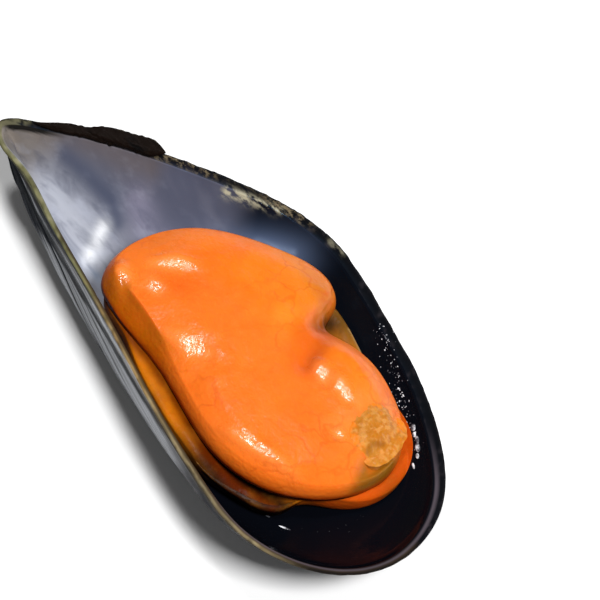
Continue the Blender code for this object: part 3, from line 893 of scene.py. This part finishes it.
def make_meat(bed):
    outline = closed_spline(LOWER_LOBE, LOBE_SIDES)
    look = meat_look("lower_mantle", (0.30, 0.10, 0.008), (0.05, 0.015, 0.002), 0.36, 0.15, 0.1)
    lower_bed = make_lobe("lower_lobe", outline, LOWER_CENTRE, 30, 70, lower_faces(bed, outline), look,
                          "lower_mantle_lobe", lower_paint)
    outline = closed_spline(UPPER_LOBE, LOBE_SIDES)
    look = meat_look("upper_mantle", (0.66, 0.105, 0.002), (0.46, 0.06, 0.002), 0.36, 0.42)
    make_lobe("upper_lobe", outline, UPPER_CENTRE, 24, 150, upper_faces(lower_bed, outline), look,
              "upper_mantle_lobe", upper_paint, wetness)
    make_muscle(bed, outline)


# The ligament.

# Start and end as shares of the way round, widths, heights, distance in from the rim, lift and seed.
STRIPS = {
    "ligament_front": (0.026, 0.092, (0.8, 1.6), (0.6, 0.9), 0.60, 0.45, 131),
    "ligament_rear": (0.058, 0.121, (1.4, 2.2), (0.8, 1.1), 0.40, 0.75, 141),
}
STRIP_RINGS = 120
STRIP_SIDES = 40


def ligament_look():
    look = Look("ligament", Specular_IOR_Level=0.08)
    fibres = look.grain(look.scaled(0.35, 1.6, 1.6), 1.6, 4.0, 0.6)
    base = look.mix(look.spread(fibres, 0.35, 0.75), look.paint(), (0.007, 0.004, 0.003))
    rough = look.spread(fibres, 0.3, 0.8, 0.6, 0.4)
    return look.finish(base, fibres, LIGAMENT_BUMP, rough)


def make_strip(name, rim, look, node=None):
    """A flat fibrous strip that lies on the rim, torn at its far end."""
    start, end, width, height, inset, lift, seed = STRIPS[name]
    walk = np.linspace(start, end, STRIP_RINGS) * len(rim)
    base = np.floor(walk).astype(int)
    part = (walk - base)[:, None]
    side = inward(rim)
    spine = rim[base % len(rim)] * (1 - part) + rim[(base + 1) % len(rim)] * part
    across = side[base % len(rim)] * (1 - part) + side[(base + 1) % len(rim)] * part
    run = np.linspace(0, 1, STRIP_RINGS)
    slow = noise(np.column_stack([run * 7]), 1.0, seed)
    quick = noise(np.column_stack([run * 26]), 1.0, seed + 1)
    taper = np.clip(np.minimum(run / 0.25, (1 - run) / 0.16), 0.04, 1) ** 0.7
    wide = (width[0] + (width[1] - width[0]) * run + 0.24 * slow + 0.20 * quick) * taper
    high = (height[0] + (height[1] - height[0]) * run + 0.10 * slow) * taper
    angle = np.linspace(0, 2 * math.pi, STRIP_SIDES, endpoint=False)
    u = np.sign(np.cos(angle)) * np.abs(np.cos(angle)) ** 0.6
    v = np.sign(np.sin(angle)) * np.abs(np.sin(angle)) ** 0.8
    rings = []
    for i in range(STRIP_RINGS):
        along = np.full(STRIP_SIDES, run[i] * 5)
        ridges = 0.05 * noise(np.column_stack([along, angle * 3.2]), 1.0, seed + 2)
        flat = spine[i] + np.outer(inset + wide[i] / 2 * u, across[i])
        slant = 0.25 * u * high[i]
        rings.append(np.column_stack([flat, lift + high[i] / 2 * v * (1 + ridges) - slant + ridges * v]))
    points = stack(rings[0].mean(axis=0), rings, rings[-1].mean(axis=0))
    outer_edge = np.tile(smooth_step(-1.6 * np.cos(angle) - 0.7), STRIP_RINGS)
    outer_edge = np.concatenate([[0], outer_edge, [0]])
    colours = painted(len(points), (15, 9, 6), (
        ((7, 6, 6), smooth_step(1.3 * layered_noise(points * (0.35, 1, 1), 1.1, seed + 5))),
        ((96, 84, 62), outer_edge * smooth_step(0.5 + 1.5 * noise(points, 0.7, seed + 6))),
    ))
    make_piece(name, points, grid_faces(STRIP_RINGS, STRIP_SIDES), look, node, colours)


def make_ligament():
    rim = closed_spline(RIM, RIM_SIDES)
    look = ligament_look()
    make_strip("ligament_front", rim, look, "hinge_ligament")
    make_strip("ligament_rear", rim, look)


# Water beads on the shell, coloured pale as painted glints.

FINE_BEADS = 230
REAR_BEADS = 46
BEAD_BAND = np.array(((46.4, 17.6), (50.4, 15.6), (54.0, 13.8), (57.2, 11.9), (60.2, 9.8)))
REAR_ARC_CENTRE = (55.4, 0.6)
REAR_ARC_RADIUS = 6.4
# Larger beads and streaks, pale as painted glints: place, radius and stretch.
LARGE_BEADS = (
    (58.1, 11.7, 0.34, 1.3), (58.8, 11.2, 0.22, 1.6), (59.5, 10.9, 0.26, 2.0), (60.2, 10.3, 0.34, 1.8),
    (60.9, 9.6, 0.24, 1.5), (61.4, 8.6, 0.16, 3.0), (54.6, -6.6, 0.15, 2.0), (57.0, -6.5, 0.17, 4.6),
)
LARGE_FROM = 0.14
HINGE_SIDE_LIE = (0.55, 0.85, 0.0)
OPEN_SIDE_LIE = (0.39, -0.92, 0.0)
SUNK = 0.03


def glint_bead_look():
    look = Look("water_glint", Roughness=0.12, Specular_IOR_Level=0.5)
    # painted glints: the beads' colour runs from dark to near white, standing in for the light they catch
    glint_share = look.spread(look.grain(look.scaled(1, 1, 1), 1.4, 2.0), 0.42, 0.70)
    return look.finish(look.mix(glint_share, (0.06, 0.06, 0.07), (0.85, 0.86, 0.90)))


def dome(centre, out, along, radius, stretch, height, sides=14, rings=5):
    """The points of a low bead that stands on a surface, and the faces between them."""
    across = np.cross(out, along)
    points = [centre - out * 2 * SUNK]
    for step in range(rings + 1):
        tilt = math.pi / 2 * step / rings
        for k in range(sides):
            angle = 2 * math.pi * k / sides
            flat = along * (math.cos(angle) * stretch) + across * math.sin(angle)
            rise = height * math.sin(tilt) - SUNK
            points.append(centre + radius * math.cos(tilt) ** 0.9 * flat + out * rise)
    points.append(centre + out * (height - SUNK))
    return points, grid_faces(rings + 1, sides)


def make_glint_beads(bed):
    """Water beads, coloured pale as painted glints, scattered on the dark wall along the hinge side,
    behind the meat, and a few larger ones.
    """
    rng = np.random.default_rng(7)
    spots = []
    for _ in range(FINE_BEADS):
        run = rng.uniform(0, len(BEAD_BAND) - 1.001)
        start, end = BEAD_BAND[int(run):int(run) + 2]
        place = start + (run - int(run)) * (end - start) + rng.normal(0, 0.42, 2)
        spots.append((*place, rng.uniform(0.03, 0.10), rng.uniform(1, 1.5)))
    for _ in range(REAR_BEADS):
        turn = rng.uniform(-1.1, 0.35)
        reach = REAR_ARC_RADIUS + rng.normal(0, 0.55)
        x = REAR_ARC_CENTRE[0] + reach * math.cos(turn)
        y = REAR_ARC_CENTRE[1] + reach * math.sin(turn)
        spots.append((x, y, rng.uniform(0.03, 0.06), 1.2))
    points, faces = [], []
    for x, y, radius, stretch in (*spots, *LARGE_BEADS):
        hit, out, _, _ = bed.ray_cast(Vector((x, y, 6)), Vector((0, 0, -1)))
        if hit is None:
            continue
        out = np.array(out if out.z > 0 else -out)
        lie = HINGE_SIDE_LIE if y > 0 else OPEN_SIDE_LIE
        along = np.cross(out, lie if radius > LARGE_FROM else rng.normal(0, 1, 3))
        along /= np.linalg.norm(along)
        more, skin = dome(np.array(hit), out, along, radius, stretch, 0.55 * radius)
        start = len(points)
        points += more
        faces += [[start + i for i in face] for face in skin]
    make_piece("water_glint_beads", np.array(points), faces, glint_bead_look())


# The stage.

FLOOR_HALF = 3.0

# The photograph's point of view, in the valve's frame: where the camera is, and its right, up and back.
CAMERA_AT = Vector((117.9388, -130.3949, 233.4828))
CAMERA_RIGHT = Vector((0.68494, 0.70169, 0.19617))
CAMERA_UP = Vector((-0.67312, 0.50637, 0.53899))
CAMERA_BACK = Vector((0.27886, -0.50122, 0.81915))
LENS = 150
SENSOR = 36

# Where the lights aim, and how far off they are. Directions run along the camera's right, up and back.
LIGHT_TARGET = Vector((38, 2, -2))
LIGHT_DISTANCE = 0.6
KEY_DIRECTION = (0.26, 0.12, 0.95)
KEY_SIZE = 0.10
KEY_POWER = 4.35
WINDOW_DIRECTION = (0.0, 0.50, 0.87)
WINDOW_SIZE = 0.07
WINDOW_POWER = 1.25
ROOM_LIGHT = 0.11


def make_floor():
    look = Look("paper", Roughness=0.9)
    speck = look.grain(look.add("ShaderNodeTexCoord").outputs["Object"], 40.0, 2.0)
    base = look.mix(speck, (0.87, 0.87, 0.87), (0.89, 0.89, 0.89))
    data = bpy.data.meshes.new("floor")
    corners = [(FLOOR_HALF * x, FLOOR_HALF * y, 0) for x, y in ((-1, -1), (1, -1), (1, 1), (-1, 1))]
    data.from_pydata(corners, [], [(0, 1, 2, 3)])
    data.materials.append(look.finish(base))
    floor = bpy.data.objects.new("floor", data)
    bpy.context.scene.collection.objects.link(floor)


def make_camera():
    data = bpy.data.cameras.new("camera")
    data.lens = LENS
    data.sensor_width = SENSOR
    data.clip_start = 0.01
    camera = bpy.data.objects.new("camera", data)
    axes = Matrix((CAMERA_RIGHT, CAMERA_UP, CAMERA_BACK)).transposed()
    camera.matrix_world = POSE @ Matrix.LocRotScale(CAMERA_AT * MM, axes.to_quaternion(), None)
    bpy.context.scene.collection.objects.link(camera)
    bpy.context.scene.camera = camera
    return camera


def make_light(name, camera, direction, size, power):
    """A soft square light."""
    data = bpy.data.lights.new(name, "AREA")
    data.size = size
    data.energy = power
    lamp = bpy.data.objects.new(name, data)
    aim = (camera.matrix_world.to_3x3() @ Vector(direction)).normalized()
    lamp.location = POSE @ (LIGHT_TARGET * MM) + aim * LIGHT_DISTANCE
    lamp.rotation_euler = (-aim).to_track_quat("-Z", "Y").to_euler()
    bpy.context.scene.collection.objects.link(lamp)
    return lamp


def make_stage():
    make_floor()
    camera = make_camera()
    key = make_light("key", camera, KEY_DIRECTION, KEY_SIZE, KEY_POWER)
    key.visible_glossy = False
    make_light("window", camera, WINDOW_DIRECTION, WINDOW_SIZE, WINDOW_POWER)
    world = bpy.data.worlds.new("studio")
    world.use_nodes = True
    room = world.node_tree.nodes["Background"]
    room.inputs["Color"].default_value = (1, 1, 1, 1)
    room.inputs["Strength"].default_value = ROOM_LIGHT
    bpy.context.scene.world = world
    bpy.context.scene.view_settings.view_transform = "Standard"


shell_bed = make_valve()
make_meat(shell_bed)
make_ligament()
make_glint_beads(shell_bed)
make_stage()
